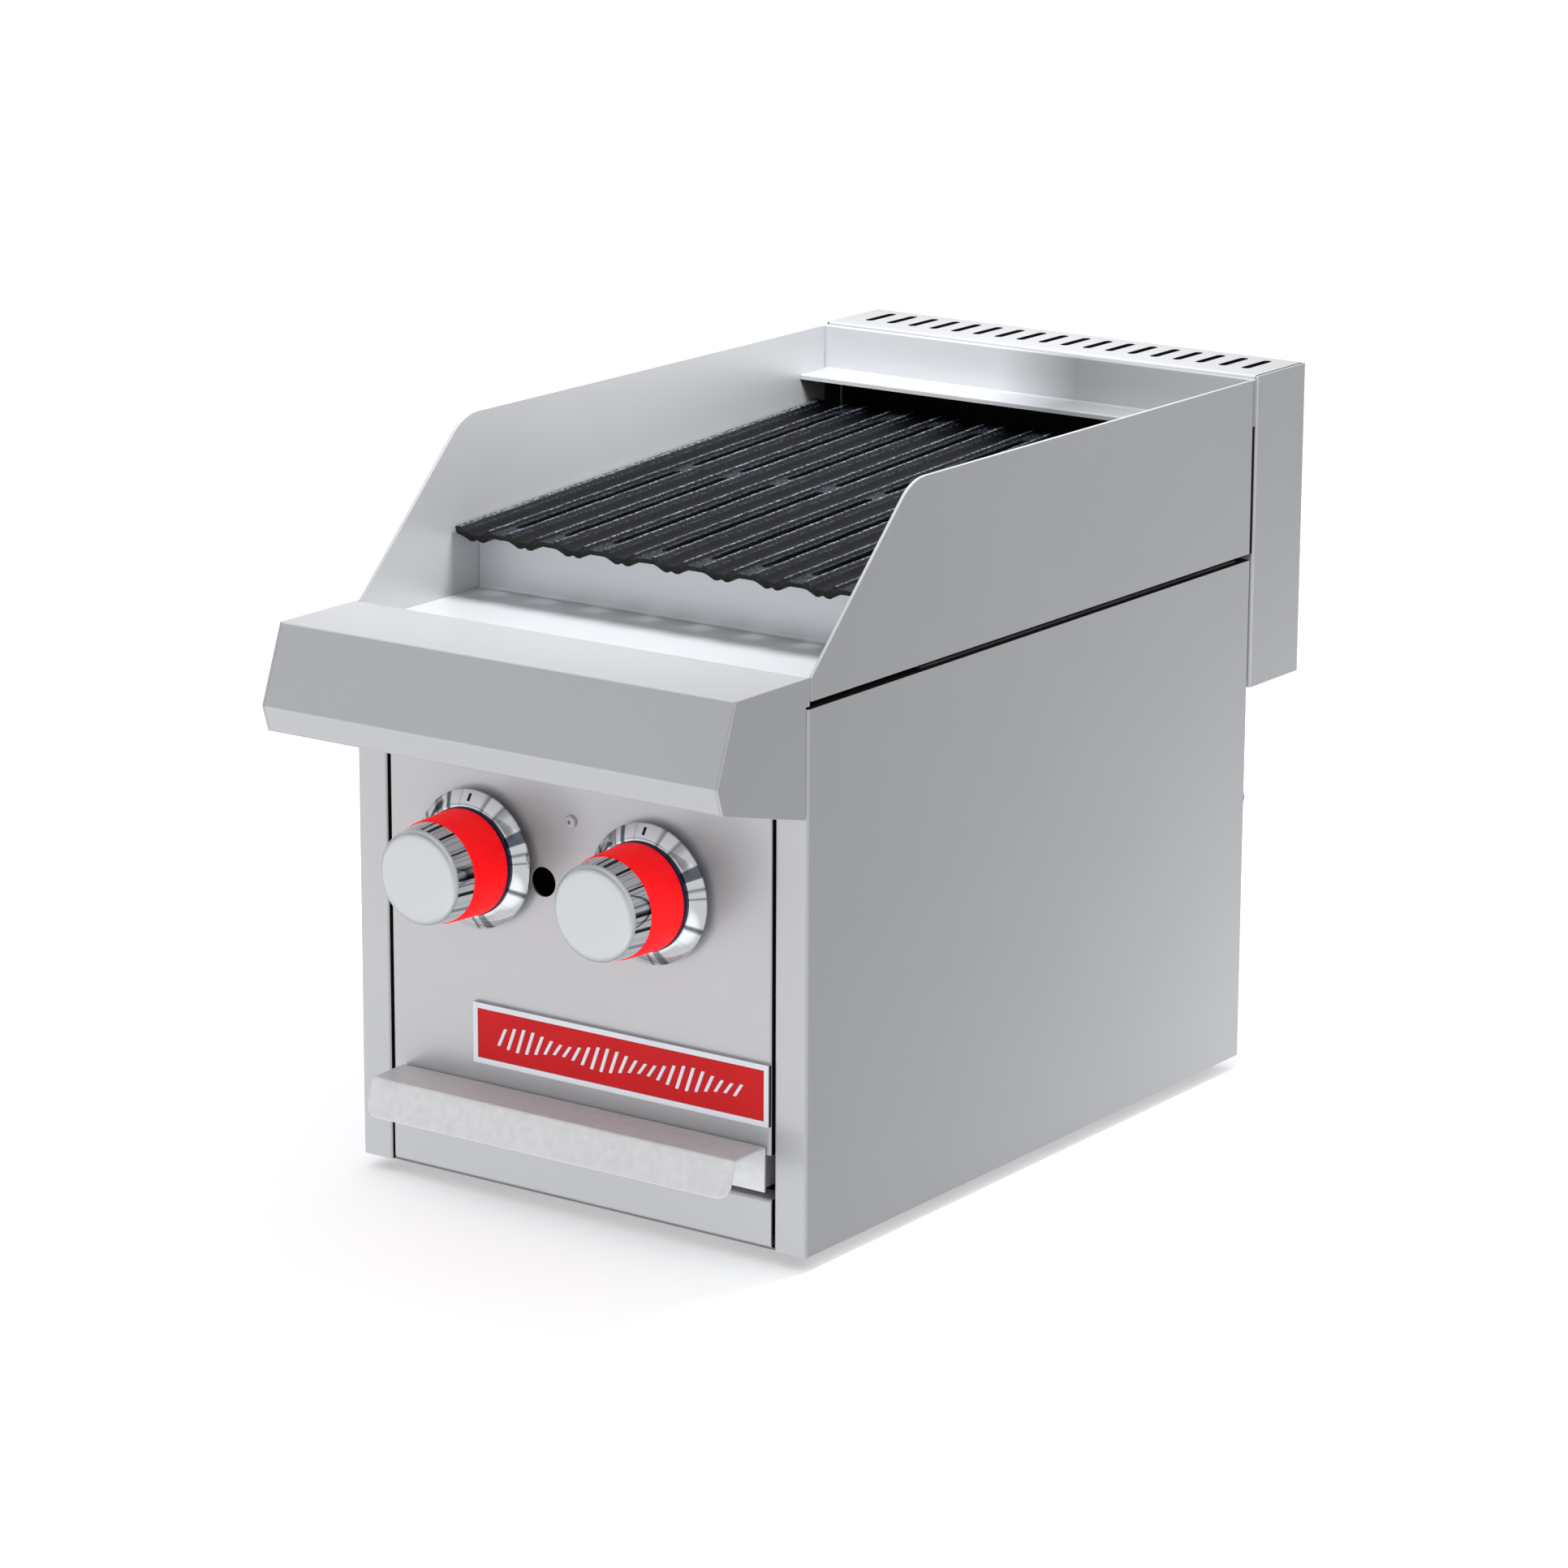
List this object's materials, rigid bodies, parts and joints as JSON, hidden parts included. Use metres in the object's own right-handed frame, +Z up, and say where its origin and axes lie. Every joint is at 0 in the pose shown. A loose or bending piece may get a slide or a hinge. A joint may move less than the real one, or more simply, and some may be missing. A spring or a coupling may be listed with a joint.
{
  "type": "countertop gas charbroiler",
  "caption": "Narrow countertop gas charbroiler with a ribbed cast grate, splash guards, sloped front ledge, two push-and-turn valve knobs, rear flue and a slide-out drip tray.",
  "frame": {"origin": "on the ground under the middle of the whole outline", "axes": "+Z up, front towards -Y, +X to the right as the cook faces it"},
  "size_m": [0.3, 0.5764, 0.4117],
  "materials": {
    "stainless": "fine brushed",
    "chrome": "polished",
    "red_plastic": "satin moulded",
    "red_enamel": "gloss",
    "nameplate_metal": "bright",
    "grate_iron": "rough cast, seasoned",
    "liner_steel": "aluminised, dull",
    "radiant_steel": "heat tinted",
    "burner_steel": "heat tinted",
    "pipe_steel": "black pipe",
    "brass": "turned",
    "insulation": "woven glass fibre, dark",
    "zinc_steel": "zinc plated",
    "foot_rubber": "moulded"
  },
  "bodies": {
    "root": {"backsplash": "stainless", "bottom_pan": "liner_steel", "burner_left": "burner_steel", "burner_right": "burner_steel", "control_panel": "stainless", "feet": "foot_rubber", "firebox_front": "liner_steel", "firebox_left": "liner_steel", "firebox_rear": "liner_steel", "firebox_right": "liner_steel", "flue_box": "stainless", "flue_lid": "stainless", "front_trough": "stainless", "gas_manifold": "pipe_steel", "grate_bearer": "liner_steel", "insulating_strips": "insulation", "ledge": "stainless", "ledge_cap_left": "stainless", "ledge_cap_right": "stainless", "lower_rail": "stainless", "nameplate_field": "red_enamel", "nameplate_frame": "nameplate_metal", "orifice_left": "brass", "orifice_right": "brass", "panel_screw": "stainless", "pilot_tube": "zinc_steel", "pilot_valve": "brass", "pipe_union": "pipe_steel", "radiant_rail_front": "liner_steel", "radiant_rail_rear": "liner_steel", "rear_panel": "stainless", "rear_screws": "zinc_steel", "side_panel_left": "stainless", "side_panel_right": "stainless", "splash_guard_left": "stainless", "splash_guard_right": "stainless", "supply_pipe": "pipe_steel", "throat_plate": "stainless", "tray_runner_left": "liner_steel", "tray_runner_right": "liner_steel", "valve_body_left": "brass", "valve_body_right": "brass"},
    "valve_left": {"valve_plug_left": "brass"},
    "valve_right": {"valve_plug_right": "brass"},
    "knob_left": {"valve_stem_left": "zinc_steel", "knob_skirt_left": "chrome", "knob_grip_left": "red_plastic", "knob_cap_left": "chrome"},
    "knob_right": {"valve_stem_right": "zinc_steel", "knob_skirt_right": "chrome", "knob_grip_right": "red_plastic", "knob_cap_right": "chrome"},
    "drip_tray": {"drip_tray": "stainless"},
    "grate": {"grate": "grate_iron"},
    "radiant_left": {"radiant_left": "radiant_steel"},
    "radiant_right": {"radiant_right": "radiant_steel"},
    "air_shutter_left": {"air_shutter_left": "burner_steel"},
    "air_shutter_right": {"air_shutter_right": "burner_steel"},
    "pilot_screw": {"pilot_screw": "brass"}
  },
  "joints": [
    {"name": "valve_turn_left", "type": "hinge", "parent": "root", "child": "valve_left", "pos_m": [-0.0655, -0.17975, 0.192], "axis": [0, -1, 0], "range_deg": [0, 90]},
    {"name": "knob_push_left", "type": "slide", "parent": "valve_left", "child": "knob_left", "axis": [0, 1, 0], "range_m": [0, 0.003], "stiffness_N_per_m": 800, "springref_m": -0.003},
    {"name": "air_shutter_turn_left", "type": "hinge", "parent": "root", "child": "air_shutter_left", "pos_m": [-0.0655, -0.12775, 0.21], "axis": [0, 1, 0], "range_deg": [0, 60]},
    {"name": "radiant_lift_left", "type": "slide", "parent": "root", "child": "radiant_left", "axis": [0, 0, 1], "range_m": [0, 0.05]},
    {"name": "valve_turn_right", "type": "hinge", "parent": "root", "child": "valve_right", "pos_m": [0.0515, -0.17975, 0.192], "axis": [0, -1, 0], "range_deg": [0, 90]},
    {"name": "knob_push_right", "type": "slide", "parent": "valve_right", "child": "knob_right", "axis": [0, 1, 0], "range_m": [0, 0.003], "stiffness_N_per_m": 800, "springref_m": -0.003},
    {"name": "air_shutter_turn_right", "type": "hinge", "parent": "root", "child": "air_shutter_right", "pos_m": [0.0515, -0.12775, 0.21], "axis": [0, 1, 0], "range_deg": [0, 60]},
    {"name": "radiant_lift_right", "type": "slide", "parent": "root", "child": "radiant_right", "axis": [0, 0, 1], "range_m": [0, 0.05]},
    {"name": "tray_slide", "type": "slide", "parent": "root", "child": "drip_tray", "axis": [0, -1, 0], "range_m": [0, 0.36]},
    {"name": "grate_lift", "type": "slide", "parent": "root", "child": "grate", "axis": [0, -0.8192, 0.5736], "range_m": [0, 0.16]},
    {"name": "pilot_screw_turn", "type": "hinge", "parent": "root", "child": "pilot_screw", "pos_m": [-0.0225, -0.18775, 0.188], "axis": [0, -1, 0], "range_deg": [0, 270]}
  ]
}
